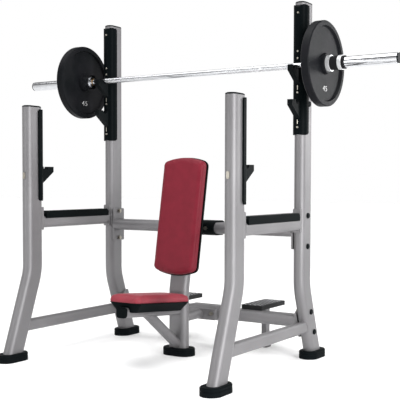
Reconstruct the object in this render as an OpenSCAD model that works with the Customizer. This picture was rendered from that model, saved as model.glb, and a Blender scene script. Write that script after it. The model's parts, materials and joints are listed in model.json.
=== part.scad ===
// Olympic bench press rack with an upright shoulder-press seat, a loaded barbell, safety rails
// and two spotter footplates. +X is the lifter's left-right line, +Y points to the rear and
// +Z up. The origin lies on the floor, under the middle of the whole object's box.

/* [Frame tube] */
// Narrow width of the flat-oval frame tube
tube_w = 58; // [54:1:62]
// Long width of the flat-oval frame tube
tube_d = 108; // [104:1:112]
// Wall thickness of the frame tubes
tube_wall = 3; // [2:0.5:4]

/* [Uprights] */
// Distance from the middle plane to each upright's centre
post_x = 587; // [580:1:595]
// Place of the front uprights' centre, front to rear
front_post_y = -371; // [-376:1:-366]
// Place of the rear uprights' centre, front to rear
rear_post_y = 271; // [268:1:276]
// Height of the front tubes
front_post_h = 1241; // [1235:1:1260]
// Height of the rear tubes
rear_post_h = 1728; // [1724:1:1760]
// Lean of the splayed legs
leg_tilt = 19.3; // [18.5:0.1:20]
// Centre-line radius of the leg bends
bend_r = 250; // [230:5:270]
// Height of the corner of the front leg's bend
front_bend_z = 427; // [420:1:434]
// Height of the corner of the rear leg's bend
rear_bend_z = 362; // [355:1:368]

/* [Cross members] */
// Height of the upper crossbar's centre
upper_bar_z = 637; // [632:1:642]
// Height of the lower crossbar's centre
lower_bar_z = 186; // [182:1:190]
// Height of the side braces' centre
brace_z = 162; // [158:1:166]
// Width of the side braces and safety rails
rail_w = 44; // [42:1:48]
// Height of the side braces and safety rails
rail_h = 58; // [54:1:60]
// Height of the safety rails' centre
safety_z = 671; // [668:1:674]

/* [Centre column, seat and back pad] */
// Place of the centre column, front to rear
column_y = 68; // [66:1:70]
// Height where the column starts to lean back
column_bend_z = 290; // [285:1:295]
// Lean of the column's upper half and of the back pad
back_tilt = 10; // [9.8:0.1:10.2]
// Slope of the seat, lower at the rear
seat_tilt = 5.2; // [5:0.1:5.4]
// Width of the seat cushion
seat_w = 182; // [170:1:190]
// Length of the seat cushion
seat_l = 426; // [415:1:428]
// Width of the back pad
back_w = 250; // [240:1:260]
// Length of the back pad
back_l = 600; // [580:2:604]
// Thickness of the back pad's foam cushion
back_foam = 41; // [36:1:41]

/* [Racks and footplates] */
// Height of the bar's axis in the upper rack hooks
bar_z = 1424; // [1420:1:1428]
// Distance between the upper and lower rack hooks
hook_pitch = 163; // [155:1:170]
// Height of the lip of the front rest hooks
rest_lip_z = 949; // [940:1:960]
// Width of each footplate
step_w = 122; // [110:1:130]
// Length of each footplate
step_l = 259; // [250:1:265]
// Height of the footplates' tread
step_z = 238; // [236:1:242]

/* [Barbell] */
// Overall length of the bar
bar_l = 2200; // [2190:1:2210]
// Diameter of the bar's shaft
shaft_d = 28.5; // [28:0.5:29]
// Diameter of the plate sleeves
sleeve_d = 50; // [49:0.5:50]
// Diameter of the weight plates
plate_d = 396; // [380:2:400]
// Width of the weight plates over the rim
plate_t = 41; // [36:1:44]

/* [Hidden] */
$fn = 64;

silver = [0.60, 0.60, 0.62];
black = [0.09, 0.10, 0.11];
chrome = [0.85, 0.86, 0.88];
steel = [0.55, 0.52, 0.46];
iron = [0.24, 0.24, 0.25];
vinyl = [0.55, 0.19, 0.23];
ply = [0.72, 0.58, 0.40];

weld_gap = 0.1;
foot_h = 38;
foot_socket = 12;
foot_d = 173;
foot_w = 97;
cap_h = 8;
cap_plug = 22;
flange_t = 8;
post_side = tube_w / 2;
post_front = tube_d / 2;
bend_tangent = bend_r * tan(leg_tilt / 2);
leg_l = 520;

upper_bolt_step = 74.5;
lower_bolt_step = 55;
bolt_r = 6;
bolt_hole_r = 6.5;
head_h = 5;
head_r = 11;
nut_h = 10;
cover_r = 13.5;
cover_h = 6;
plug_z = 1250;
plug_back = 4;
// The lower crossbar crosses the rear legs on their sloped centre line
lower_bar_y = rear_post_y + tan(leg_tilt) * (rear_bend_z - lower_bar_z);
saddle_t = 9;
upper_saddle_half = 112;
lower_saddle_half = 88;
saddle_gusset_x = 32;
saddle_front = post_front + saddle_t;
saddle_boss_r = 14;
upper_saddle_bolt_x = 70;
crossbar_half = post_x - post_side - flange_t;
flange_grip = tube_w + flange_t + 2 * weld_gap;

rail_from = front_post_y + post_front;
rail_to = rear_post_y - post_front;
rail_plate_w = 40;
rail_plate_h = 115;
rail_plate_t = 8;
rail_plate_seat = 8;
rail_plate_z = safety_z + 17.5;
cover_over = 26;
cover_side = 10;
cover_lip = 4.5;

column_bend_r = 400;
column_len = 545;
mitre_over = 20;
link_z = 184;
link_r = 24;
link_plate = [190, 8, 56];
link_bolt_x = 75;
link_bolt_z = 190;
link_face_y = lower_bar_y - saddle_front - link_plate[1];

seat_mid_y = -180;
seat_mid_z = 251;
seat_tube_w = 58;
seat_tube_h = 48;
seat_tube_front = -214;
seat_seam = 46;
seat_top = 78;
shell_low = 2.5;
shell_wall = 4;
shell_low_w = 112;
shell_low_l = 392;
board_t = 12;
board_in = 44;
bracket_y = 120;
bracket = [88, 40, 10];
brace_r = 25;

back_mid_z = 703;
back_half_t = (back_foam + board_t) / 2;
column_lean_y = column_y + column_bend_r * (1 - cos(back_tilt));
column_lean_z = column_bend_z + column_bend_r * sin(back_tilt);
// The upper saddle's gussets start inside the column, on its axis
gusset_from = column_lean_y + tan(back_tilt) * (upper_bar_z - column_lean_z);
gusset_h = 68;
// Middle of the pad, so that its board lies on the leaning column's front
back_mid_y = column_lean_y + tan(back_tilt) * (back_mid_z - column_lean_z)
  - (tube_w / 2 + back_half_t + weld_gap) / cos(back_tilt);
back_bolt_z = 170;
pad_bolt_r = 4;
back_arch = 24;
back_corner = 30;

guard_t = 8;
guard_wrap = 12;
guard_round = 16;
guard_corner = 9;
rack_guard_low = 1100;
rack_guard_top = 1719;
rest_guard_low = 778;
rest_guard_top = 1232;
rack_screw_z = [1137, 1302, 1464, 1497, 1680];
rest_screw_z = [810, 1030, 1200];
screw_r = 3;
screw_head_r = 5.5;
hook_w = 26;
hook_reach = 80;
hook_drop = 67.5;
hook_lip = 17.5;
hook_lip_h = 26;
hook_seat_r = 16.5;
hook_bar_out = 24.5;
rest_bolt_z = 903;
rest_bolt_r = 5;
bar_y = rear_post_y - post_front - guard_t - hook_bar_out;
// The bar hangs half a millimetre above the hooks' seats
seat_gap = 0.5;
hook_seat_z = bar_z - shaft_d / 2 - seat_gap;

step_x = 264;
// The footplates end as far behind the origin as the front feet reach before it
step_rear = tan(leg_tilt) * (front_bend_z - foot_h / 2) + foot_d / 2 - front_post_y;
step_skirt = 22;
step_wall = 4;
step_post_y = step_rear - 106;
step_post = [30, 44];
step_foot_h = 12;

sleeve_in = 657;
shoulder = [664, 704];
shoulder_r = 38.5;
plate_in = 711;
plate_hub_r = 46;
plate_hub_out = 4;
plate_web = 18;
plate_rim = 23;
hub_r = 30;
bore_r = sleeve_d / 2 + 0.3;
bush_r = 19;
bush_fit = 0.05;
pin_r = 12.5;
shaft_end = bar_l / 2 - 20;
bush_span = [[sleeve_in, sleeve_in + 60], [shaft_end - 66, shaft_end - 6]];
collar_in = plate_in + plate_t + plate_hub_out + 1;
sleeve_groove_x = 850;
end_cap_t = 6;

// ---------- outlines ----------

// Flat-oval outline, long way along Y
module oval(w, d) {
  union() {
    translate([0, (d - w) / 2]) circle(d = w);
    translate([0, -(d - w) / 2]) circle(d = w);
    square([w, d - w], center = true);
  }
}

module oval_ring(w, d, wall) {
  difference() {
    oval(w, d);
    oval(w - 2 * wall, d - 2 * wall);
  }
}

module rounded(w, h, r) {
  union() {
    square([w - 2 * r, h], center = true);
    square([w, h - 2 * r], center = true);
    for (x = [-1, 1], y = [-1, 1])
      translate([x * (w / 2 - r), y * (h / 2 - r)]) circle(r = r);
  }
}

module rounded_ring(w, h, r, wall) {
  difference() {
    rounded(w, h, r);
    rounded(w - 2 * wall, h - 2 * wall, r - wall);
  }
}

// ---------- bent uprights ----------

// Turns an outline in the XY plane into an arc in the YZ plane, bending towards +Y
module bend_down(r, angle) {
  rotate([-90, 0, -90])
    translate([-r, 0, 0])
      rotate_extrude(angle = angle, $fn = 160)
        translate([r, 0]) rotate([0, 0, 90]) children();
}

// A post whose foot splays towards +Y, centred on the Z axis above the bend
module splayed(h, bend_z) {
  top_z = bend_z + bend_tangent;
  translate([0, 0, top_z]) linear_extrude(h - top_z) children();
  translate([0, 0, top_z]) bend_down(bend_r, leg_tilt) children();
  difference() {
    translate([0, bend_r * (1 - cos(leg_tilt)), top_z - bend_r * sin(leg_tilt)])
      rotate([leg_tilt, 0, 0])
        translate([0, 0, -leg_l]) linear_extrude(leg_l) children();
    translate([-100, -200, foot_socket - 400]) cube([200, 700, 400]);
  }
}

// Stands one copy of a part at an upright; front ones splay forwards
module at_upright(side, rear) {
  translate([side * post_x, rear ? rear_post_y : front_post_y, 0])
    mirror([0, rear ? 0 : 1, 0]) children();
}

module upright_solid(side, rear, grow = 0) {
  at_upright(side, rear)
    splayed(rear ? rear_post_h : front_post_h, rear ? rear_bend_z : front_bend_z)
      oval(tube_w + 2 * grow, tube_d + 2 * grow);
}

// The two holes of a crossbar flange, along X, about a point on the upright
module flange_axes(tilt, step) {
  rotate([tilt, 0, 0])
    for (z = [-step, step]) translate([0, 0, z]) rotate([0, 90, 0]) children();
}

module upper_flange_at() {
  translate([0, rear_post_y, upper_bar_z]) flange_axes(0, upper_bolt_step) children();
}

module lower_flange_at() {
  translate([0, lower_bar_y, lower_bar_z]) flange_axes(leg_tilt, lower_bolt_step) children();
}

// The spare bolt hole in a rear upright's outer face, pointing inwards
module at_plug(side) {
  translate([side * (post_x + post_side), rear_post_y + plug_back, plug_z])
    rotate([0, -side * 90, 0]) children();
}

module upright(side, rear) {
  color(silver)
    difference() {
      at_upright(side, rear)
        splayed(rear ? rear_post_h : front_post_h, rear ? rear_bend_z : front_bend_z)
          oval_ring(tube_w, tube_d, tube_wall);
      if (rear) {
        upper_flange_at() translate([0, 0, side * post_x - 60]) cylinder(r = bolt_hole_r, h = 120);
        lower_flange_at() translate([0, 0, side * post_x - 60]) cylinder(r = bolt_hole_r, h = 120);
        at_plug(side) translate([0, 0, -1]) cylinder(r = bolt_hole_r, h = 10);
        for (z = rack_screw_z)
          translate([side * post_x, rear_post_y - post_front - 5, z])
            rotate([-90, 0, 0]) cylinder(r = screw_r + 0.1, h = 12);
      } else {
        translate([side * post_x, front_post_y - 80, rest_bolt_z])
          rotate([-90, 0, 0]) cylinder(r = rest_bolt_r + 0.3, h = 160);
        for (z = rest_screw_z)
          translate([side * post_x, front_post_y + post_front + 5, z])
            rotate([90, 0, 0]) cylinder(r = screw_r + 0.1, h = 12);
      }
    }
}

module front_left_upright() { upright(-1, false); }
module front_right_upright() { upright(1, false); }
module rear_left_upright() { upright(-1, true); }
module rear_right_upright() { upright(1, true); }

// A domed plug for an open tube end, seated at z = 0
module tube_cap() {
  translate([0, 0, -cap_plug])
    linear_extrude(cap_plug) oval(tube_w - 2 * tube_wall - 0.4, tube_d - 2 * tube_wall - 0.4);
  linear_extrude(cap_h / 2) oval(tube_w, tube_d);
  translate([0, 0, cap_h / 2]) linear_extrude(cap_h / 4) oval(tube_w - 4, tube_d - 4);
  translate([0, 0, cap_h * 3 / 4]) linear_extrude(cap_h / 4) oval(tube_w - 14, tube_d - 14);
}

module tube_caps() {
  color(black) {
    for (side = [-1, 1]) {
      translate([side * post_x, front_post_y, front_post_h]) tube_cap();
      translate([side * post_x, rear_post_y, rear_post_h]) tube_cap();
    }
    on_column_lean() translate([0, 0, column_len]) rotate([0, 0, 90]) tube_cap();
  }
}

// ---------- feet ----------

module foot(w, d) {
  linear_extrude(foot_h * 0.55) oval(w, d);
  translate([0, 0, foot_h * 0.55]) linear_extrude(foot_h * 0.1) oval(w - 5, d - 5);
  translate([0, 0, foot_h * 0.65]) linear_extrude(foot_h * 0.25) oval(w, d);
  translate([0, 0, foot_h * 0.9]) linear_extrude(foot_h * 0.1) oval(w - 6, d - 6);
}

// Where a leg's centre line crosses the middle of its foot
function foot_y(bend_z) = tan(leg_tilt) * (bend_z - foot_h / 2);

module upright_feet(rear) {
  color(black)
    for (side = [-1, 1])
      difference() {
        at_upright(side, rear)
          translate([0, foot_y(rear ? rear_bend_z : front_bend_z), 0]) foot(foot_w, foot_d);
        upright_solid(side, rear, weld_gap);
      }
}

module front_feet() { upright_feet(false); }
module rear_feet() { upright_feet(true); }

module column_foot() {
  color(black)
    difference() {
      translate([0, column_y, 0]) rotate([0, 0, 90]) foot(tube_d, foot_d);
      column_solid(weld_gap);
    }
}

// ---------- centre column ----------

module on_column_lean() {
  translate([0, column_lean_y, column_lean_z]) rotate([-back_tilt, 0, 0]) children();
}

// Everything above or below a mitre plane
module beyond_mitre(angle, above) {
  rotate([-angle, 0, 0]) translate([-200, -200, above ? 0 : -400]) cube(400);
}

// The column stands up straight, then leans back behind the pad, welded at a mitre
module column_path() {
  corner_z = column_bend_z + column_bend_r * tan(back_tilt / 2);
  difference() {
    translate([0, column_y, foot_socket])
      linear_extrude(corner_z - foot_socket + mitre_over) children();
    translate([0, column_y, corner_z]) beyond_mitre(back_tilt / 2, true);
  }
  difference() {
    on_column_lean() translate([0, 0, -column_bend_r * tan(back_tilt / 2) - mitre_over])
      linear_extrude(column_len + column_bend_r * tan(back_tilt / 2) + mitre_over) children();
    translate([0, column_y, corner_z + weld_gap]) beyond_mitre(back_tilt / 2, false);
  }
}

module column_solid(grow = 0) {
  column_path() rotate([0, 0, 90]) oval(tube_w + 2 * grow, tube_d + 2 * grow);
}

module on_back() {
  translate([0, back_mid_y, back_mid_z]) rotate([-back_tilt, 0, 0]) children();
}

module centre_column() {
  color(silver)
    difference() {
      column_path() rotate([0, 0, 90]) oval_ring(tube_w, tube_d, tube_wall);
      for (z = [-back_bolt_z, back_bolt_z])
        on_back() translate([0, back_half_t - 1, z])
          rotate([-90, 0, 0]) cylinder(r = pad_bolt_r + 0.5, h = tube_w + 4);
    }
}

// ---------- braces and rails along Y ----------

// A straight tube along Y on each side's upright plane, coped to the uprights
module side_tube(side, z, from_y, to_y) {
  difference() {
    translate([side * post_x, from_y, z]) rotate([-90, 0, 0])
      linear_extrude(to_y - from_y) rounded_ring(rail_w, rail_h, 18, tube_wall);
    for (rear = [false, true]) upright_solid(side, rear, weld_gap);
  }
}

module side_braces() {
  color(silver)
    for (side = [-1, 1])
      side_tube(side, brace_z, front_post_y - tan(leg_tilt) * (front_bend_z - brace_z),
        rear_post_y + tan(leg_tilt) * (rear_bend_z - brace_z));
}

module safety_rail(side) {
  color(silver)
    translate([side * post_x, rail_from + rail_plate_t + weld_gap, safety_z]) rotate([-90, 0, 0])
      linear_extrude(rail_to - rail_from - 2 * (rail_plate_t + weld_gap))
        rounded_ring(rail_w, rail_h, 18, tube_wall);
}

module left_safety_rail() { safety_rail(-1); }
module right_safety_rail() { safety_rail(1); }

// A wear block over the rail's top, with chamfered ends and a seam at mid-length
module rail_cover(side) {
  from_y = rail_from + rail_plate_t + 14;
  len = rail_to - rail_from - 2 * (rail_plate_t + 14);
  top = safety_z + rail_h / 2 + cover_over;
  low = safety_z + rail_h / 2 - cover_side;
  color(black)
    difference() {
      translate([side * post_x - rail_w / 2 - cover_lip, from_y, low])
        cube([rail_w + 2 * cover_lip, len, top - low]);
      translate([side * post_x, from_y - 1, safety_z]) rotate([-90, 0, 0])
        linear_extrude(len + 2) rounded(rail_w + 0.4, rail_h + 0.4, 18);
      for (y = [from_y, from_y + len])
        translate([side * post_x, y, top]) rotate([45, 0, 0]) cube([80, 18, 18], center = true);
      translate([side * post_x - 40, from_y + len / 2 - 0.6, low - 1])
        cube([80, 1.2, 2 + cover_side]);
    }
}

module left_rail_cover() { rail_cover(-1); }
module right_rail_cover() { rail_cover(1); }

// The upright end plate between a rail and an upright, hollowed to fit the round tube
module rail_saddles() {
  color(silver)
    for (side = [-1, 1], rear = [false, true])
      difference() {
        y = rear ? rail_to - rail_plate_t : rail_from - rail_plate_seat;
        translate([side * post_x, y, rail_plate_z]) rotate([-90, 0, 0])
          linear_extrude(rail_plate_t + rail_plate_seat) rounded(rail_plate_w, rail_plate_h, 6);
        upright_solid(side, rear, weld_gap);
      }
}

// ---------- crossbars ----------

module crossbar(y, z) {
  color(silver)
    translate([-crossbar_half + weld_gap, y, z]) rotate([0, 90, 0])
      linear_extrude(2 * (crossbar_half - weld_gap)) oval_ring(tube_w, tube_d, tube_wall);
}

module crossbar_drills() {
  for (x = [-1, 1]) translate([x * upper_saddle_bolt_x, rear_post_y - post_front - 20, upper_bar_z])
    rotate([-90, 0, 0]) cylinder(r = bolt_hole_r, h = 160);
}

module upper_crossbar() {
  difference() {
    crossbar(rear_post_y, upper_bar_z);
    crossbar_drills();
  }
}

module lower_crossbar() { crossbar(lower_bar_y, lower_bar_z); }

// A flange plate against an upright's inner face, drilled for two bolts
module flange(side, tilt, y, z, step, len) {
  difference() {
    translate([side * (post_x - post_side - flange_t / 2), y, z]) rotate([tilt, 0, 0])
      rotate([0, 90, 0]) linear_extrude(flange_t - 2 * weld_gap, center = true)
        rounded(len, 94, 8);
    translate([side * (post_x - post_side - flange_t) - 20, y, z]) flange_axes(tilt, step)
      cylinder(r = bolt_hole_r, h = 50);
  }
}

module crossbar_flanges() {
  color(silver)
    for (side = [-1, 1]) {
      flange(side, 0, rear_post_y, upper_bar_z, upper_bolt_step, 177);
      flange(side, leg_tilt, lower_bar_y, lower_bar_z, lower_bolt_step, 138);
    }
}

// A sleeve round a crossbar
module saddle_sleeve(half, y, z) {
  translate([-half, y, z]) rotate([0, 90, 0])
    linear_extrude(2 * half) oval_ring(tube_w + 2 * saddle_t, tube_d + 2 * saddle_t,
      saddle_t - weld_gap);
}

module upper_saddle() {
  color(silver)
    difference() {
      union() {
        saddle_sleeve(upper_saddle_half, rear_post_y, upper_bar_z);
        for (x = [-1, 1])
          translate([x * upper_saddle_bolt_x, rear_post_y - saddle_front - 4, upper_bar_z])
            rotate([-90, 0, 0]) cylinder(r = saddle_boss_r, h = 20);
        for (x = [-1, 1])
          translate([x * saddle_gusset_x - 5, gusset_from, upper_bar_z - gusset_h / 2])
            cube([10, rear_post_y - saddle_front - gusset_from + 12, gusset_h]);
      }
      column_solid(weld_gap);
      translate([-100, rear_post_y, upper_bar_z]) rotate([0, 90, 0])
        linear_extrude(200) oval(tube_w + 2 * weld_gap, tube_d + 2 * weld_gap);
      crossbar_drills();
    }
}

module link_drills() {
  for (x = [-link_bolt_x, link_bolt_x])
    translate([x, lower_bar_y - saddle_front - 40, link_bolt_z])
      rotate([-90, 0, 0]) cylinder(r = bolt_hole_r, h = 40 + 16);
}

module lower_saddle() {
  color(silver)
    difference() {
      union() {
        saddle_sleeve(lower_saddle_half, lower_bar_y, lower_bar_z);
        translate([-link_plate[0] / 2, link_face_y, link_z - link_plate[2] / 2])
          cube([link_plate[0], link_plate[1] + 14, link_plate[2]]);
      }
      translate([-100, lower_bar_y, lower_bar_z]) rotate([0, 90, 0])
        linear_extrude(200) oval(tube_w + 2 * weld_gap, tube_d + 2 * weld_gap);
      link_drills();
    }
}

// The tube that ties the column's base to the lower crossbar
module base_link() {
  plate_y = link_face_y - link_plate[1] - weld_gap;
  color(silver)
    difference() {
      union() {
        translate([0, column_y, link_z]) rotate([-90, 0, 0])
          cylinder(r = link_r, h = plate_y - column_y + 1);
        translate([-link_plate[0] / 2, plate_y, link_z - link_plate[2] / 2]) cube(link_plate);
      }
      translate([0, column_y, link_z]) rotate([-90, 0, 0])
        cylinder(r = link_r - tube_wall, h = plate_y - column_y);
      column_solid(weld_gap);
      link_drills();
    }
}

// ---------- seat ----------

module on_seat() {
  translate([0, seat_mid_y, seat_mid_z]) rotate([-seat_tilt, 0, 0]) children();
}

module seat_tube() {
  color(silver)
    difference() {
      on_seat() translate([0, seat_tube_front, 0]) rotate([-90, 0, 0])
        linear_extrude(seat_l + 60) rounded_ring(seat_tube_w, seat_tube_h, 15, tube_wall);
      column_solid(weld_gap);
      translate([-100, column_y, 0]) cube([200, 200, 400]);
      on_seat() for (y = [-bracket_y, bracket_y])
        translate([0, y, 0]) cylinder(r = pad_bolt_r + 0.5, h = 40);
    }
}

module seat_tube_cap() {
  color(black)
    on_seat() {
      translate([0, seat_tube_front - 8, 0]) rotate([-90, 0, 0])
        linear_extrude(8) rounded(seat_tube_w + 2, seat_tube_h + 2, 16);
      translate([0, seat_tube_front, 0]) rotate([-90, 0, 0])
        linear_extrude(24) rounded(seat_tube_w - 6.4, seat_tube_h - 6.4, 12);
    }
}

// The round strut from under the seat tube down to the column's front
module seat_brace() {
  top_y = -194;
  low_y = 44;
  top_z = 236;
  low_z = 58;
  len = norm([top_y - low_y, top_z - low_z]);
  color(silver)
    difference() {
      translate([0, low_y, low_z]) rotate([atan2(low_y - top_y, top_z - low_z), 0, 0])
        difference() {
          translate([0, 0, -60]) cylinder(r = brace_r, h = len + 90);
          translate([0, 0, -61]) cylinder(r = brace_r - tube_wall, h = len + 92);
        }
      column_solid(weld_gap);
      translate([-100, column_y, 0]) cube([200, 200, 400]);
      translate([-100, -100, -100]) cube([200, 300, 100 + foot_h + weld_gap]);
      on_seat() translate([-100, -300, 0]) cube([200, 600, 300]);
      on_seat() translate([0, -300, 0]) rotate([-90, 0, 0])
        linear_extrude(600) rounded(seat_tube_w + 0.2, seat_tube_h + 0.2, 15);
    }
}

module seat_brackets() {
  color(steel)
    on_seat() for (y = [-bracket_y, bracket_y])
      difference() {
        translate([-bracket[0] / 2, y - bracket[1] / 2, seat_tube_h / 2 + weld_gap])
          cube([bracket[0], bracket[1], bracket[2] - 2 * weld_gap]);
        translate([0, y, 0]) cylinder(r = pad_bolt_r + 0.5, h = 60);
      }
}

module seat_board() {
  color(ply)
    on_seat() difference() {
      translate([0, 0, seat_seam - board_t])
        linear_extrude(board_t - weld_gap) rounded(seat_w - board_in, seat_l - board_in, 20);
      for (y = [-bracket_y, bracket_y])
        translate([0, y, 0]) cylinder(r = pad_bolt_r + weld_gap, h = 60);
    }
}

// The boat-shaped moulded tray under the cushion, slotted for the seat tube
module seat_shell() {
  tall = seat_seam - shell_low - weld_gap;
  grow = [seat_w / shell_low_w, seat_l / shell_low_l];
  color(black)
    on_seat() difference() {
      translate([0, 0, shell_low])
        linear_extrude(tall, scale = grow, slices = 1, $fn = 48) rounded(shell_low_w, shell_low_l, 22);
      translate([0, 0, shell_low + shell_wall])
        linear_extrude(tall, scale = grow, slices = 1, $fn = 48)
          rounded(shell_low_w - 2 * shell_wall, shell_low_l - 2 * shell_wall, 18);
      translate([-seat_tube_w / 2 - 0.5, -300, -60])
        cube([seat_tube_w + 1, 600, 60 + seat_tube_h / 2 + 0.3]);
    }
}

module seat_cushion() {
  color(vinyl)
    on_seat() hull() {
      translate([0, 0, seat_seam]) linear_extrude(18, $fn = 32) rounded(seat_w, seat_l, 28);
      translate([0, 0, seat_top - 0.5])
        linear_extrude(0.5, $fn = 32) rounded(seat_w - 34, seat_l - 34, 20);
    }
}

// ---------- back pad ----------

// A pad outline whose two ends are shallow arches
module arched(w, l, arch, corner) {
  r = (w * w / 4 + arch * arch) / (2 * arch);
  offset(r = corner, $fn = 32) offset(delta = -corner)
    intersection() {
      square([w, l], center = true);
      union() {
        translate([0, l / 2 - r]) circle(r = r, $fn = 96);
        translate([0, -l / 2 + r - 400]) square([w * 2, l * 2], center = true);
      }
      union() {
        translate([0, r - l / 2]) circle(r = r, $fn = 96);
        translate([0, l / 2 - r + 400]) square([w * 2, l * 2], center = true);
      }
    }
}

module back_slab(from_y, to_y, w, l) {
  on_back() translate([0, to_y, 0]) rotate([90, 0, 0])
    linear_extrude(to_y - from_y) arched(w, l, back_arch, back_corner);
}

module back_board() {
  color(black)
    difference() {
      back_slab(back_half_t - board_t, back_half_t, back_w - 2, back_l - 2);
      for (z = [-back_bolt_z, back_bolt_z])
        on_back() translate([0, 0, z]) rotate([-90, 0, 0])
          cylinder(r = pad_bolt_r + weld_gap, h = 60);
    }
}

module back_cushion() {
  color(vinyl)
    back_slab(-back_half_t, back_half_t - board_t - weld_gap, back_w, back_l);
}

// Socket bolts that hold both pads' boards
module pad_bolt(len) {
  cylinder(r = pad_bolt_r, h = len);
  translate([0, 0, -5]) difference() {
    cylinder(r = 8, h = 5);
    translate([0, 0, -1]) cylinder(r = 3, h = 4);
  }
}

module pad_bolts() {
  color(steel) {
    for (z = [-back_bolt_z, back_bolt_z])
      on_back() translate([0, back_half_t + tube_w + 2 * weld_gap, z])
        rotate([90, 0, 0]) pad_bolt(tube_w + board_t - 2);
    for (y = [-bracket_y, bracket_y])
      on_seat() translate([0, y, seat_tube_h / 2 - tube_wall - weld_gap])
        pad_bolt(tube_wall + bracket[2] + board_t - 2);
  }
}

// ---------- rack guards, hooks and rests ----------

// A plastic guard that wraps an upright's round edge, facing +Y, with rounded ends
module guard(low, top) {
  edge = (tube_d - tube_w) / 2 - guard_wrap;
  face = post_front + guard_t;
  intersection() {
    translate([0, 0, low]) linear_extrude(top - low)
      difference() {
        oval(tube_w + 2 * guard_t, tube_d + 2 * guard_t);
        oval(tube_w + 2 * weld_gap, tube_d + 2 * weld_gap);
        translate([-100, edge - 300]) square([200, 300]);
      }
    translate([-100, (edge + face) / 2, (low + top) / 2]) rotate([0, 90, 0])
      linear_extrude(200) rounded(top - low, face - edge, guard_round);
    translate([0, 100, (low + top) / 2]) rotate([90, 0, 0])
      linear_extrude(200) rounded(tube_w + 2 * guard_t, top - low, guard_corner);
  }
}

module on_rack(side) {
  translate([side * post_x, rear_post_y, 0]) mirror([0, 1, 0]) children();
}

module on_rest(side) {
  translate([side * post_x, front_post_y, 0]) children();
}

module screw_axis(z, h) {
  translate([0, post_front + guard_t + 1, z]) rotate([90, 0, 0]) cylinder(r = screw_r + 0.1, h = h);
}

module rack_guard(side) {
  color(black)
    on_rack(side) difference() {
      guard(rack_guard_low, rack_guard_top);
      for (z = rack_screw_z) screw_axis(z, guard_t + 4);
    }
}

module left_rack_guard() { rack_guard(-1); }
module right_rack_guard() { rack_guard(1); }

module rest_guards() {
  color(black)
    for (side = [-1, 1])
      on_rest(side) difference() {
        guard(rest_guard_low, rest_guard_top);
        for (z = rest_screw_z) screw_axis(z, guard_t + 4);
        translate([0, 0, rest_bolt_z]) rotate([-90, 0, 0])
          cylinder(r = rest_bolt_r + 0.3, h = 100);
      }
}

// A J-shaped bar hook on the guard's face; its seat is at z = 0 and it reaches along +Y
module bar_hook() {
  face = post_front + guard_t;
  difference() {
    translate([-hook_w / 2, 0, 0]) rotate([90, 0, 90]) linear_extrude(hook_w)
      polygon([[face - 25, hook_lip], [face + hook_reach, hook_lip],
        [face + hook_reach, hook_lip - hook_lip_h], [face, -hook_drop], [face - 25, -hook_drop]]);
    translate([-50, face + hook_bar_out, hook_seat_r]) rotate([0, 90, 0])
      cylinder(r = hook_seat_r, h = 100);
    translate([-50, face + hook_bar_out - hook_seat_r, hook_seat_r])
      cube([100, 2 * hook_seat_r, 40]);
    translate([0, 0, -200]) linear_extrude(400)
      oval(tube_w + 2 * (guard_t + weld_gap), tube_d + 2 * (guard_t + weld_gap));
  }
}

module rack_hooks(side) {
  color(black)
    on_rack(side) for (level = [0, 1])
      translate([0, 0, hook_seat_z - level * hook_pitch]) bar_hook();
}

module left_rack_hooks() { rack_hooks(-1); }
module right_rack_hooks() { rack_hooks(1); }

module rest_hooks() {
  color(black)
    for (side = [-1, 1])
      on_rest(side) difference() {
        translate([0, 0, rest_lip_z - hook_lip]) bar_hook();
        translate([0, 0, rest_bolt_z]) rotate([-90, 0, 0])
          cylinder(r = rest_bolt_r + 0.3, h = post_front + guard_t + 12);
      }
}

// Through bolts of the rest hooks, with a long plate head on the upright's front
module rest_bolts() {
  color(steel)
    for (side = [-1, 1])
      on_rest(side) difference() {
        union() {
          translate([0, -post_front - 3, rest_bolt_z]) rotate([-90, 0, 0])
            cylinder(r = rest_bolt_r, h = tube_d + guard_t + 13);
          translate([0, -post_front - 4, rest_bolt_z]) rotate([-90, 0, 0])
            linear_extrude(12) rounded(14, 32, 5);
        }
        difference() {
          translate([0, 0, rest_bolt_z - 40]) linear_extrude(80)
            oval(tube_w + 2 * weld_gap, tube_d + 2 * weld_gap);
          translate([0, -post_front - 3, rest_bolt_z]) rotate([-90, 0, 0])
            cylinder(r = rest_bolt_r, h = 140);
        }
      }
}

module guard_screw(z) {
  translate([0, post_front + guard_t + weld_gap, z]) rotate([90, 0, 0])
    cylinder(r = screw_r, h = guard_t + 4);
  translate([0, post_front + guard_t + weld_gap, z]) rotate([-90, 0, 0])
    cylinder(r1 = screw_head_r, r2 = screw_head_r - 1.5, h = 3);
}

module guard_screws() {
  color(steel)
    for (side = [-1, 1]) {
      on_rack(side) for (z = rack_screw_z) guard_screw(z);
      on_rest(side) for (z = rest_screw_z) guard_screw(z);
    }
}

// ---------- spotter footplates ----------

// A folded tread tray, open underneath, resting on the lower crossbar
module footplate(side) {
  low = step_z - step_skirt;
  color(black)
    difference() {
      translate([side * step_x, step_rear - step_l / 2, low])
        linear_extrude(step_skirt) rounded(step_w, step_l, 6);
      translate([side * step_x, step_rear - step_l / 2, low - 1])
        linear_extrude(step_skirt + 1 - step_wall)
          rounded(step_w - 2 * step_wall, step_l - 2 * step_wall, 3);
    }
}

module left_footplate() { footplate(-1); }
module right_footplate() { footplate(1); }

module footplate_posts() {
  color(silver)
    for (side = [-1, 1])
      translate([side * step_x, step_post_y, 0]) {
        linear_extrude(step_foot_h) rounded(step_post[0] + 14, step_post[1] + 14, 10);
        translate([0, 0, step_foot_h - 1])
          linear_extrude(step_z - step_wall - weld_gap - step_foot_h + 1)
            rounded_ring(step_post[0], step_post[1], 6, tube_wall);
      }
}

// ---------- frame fasteners ----------

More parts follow.
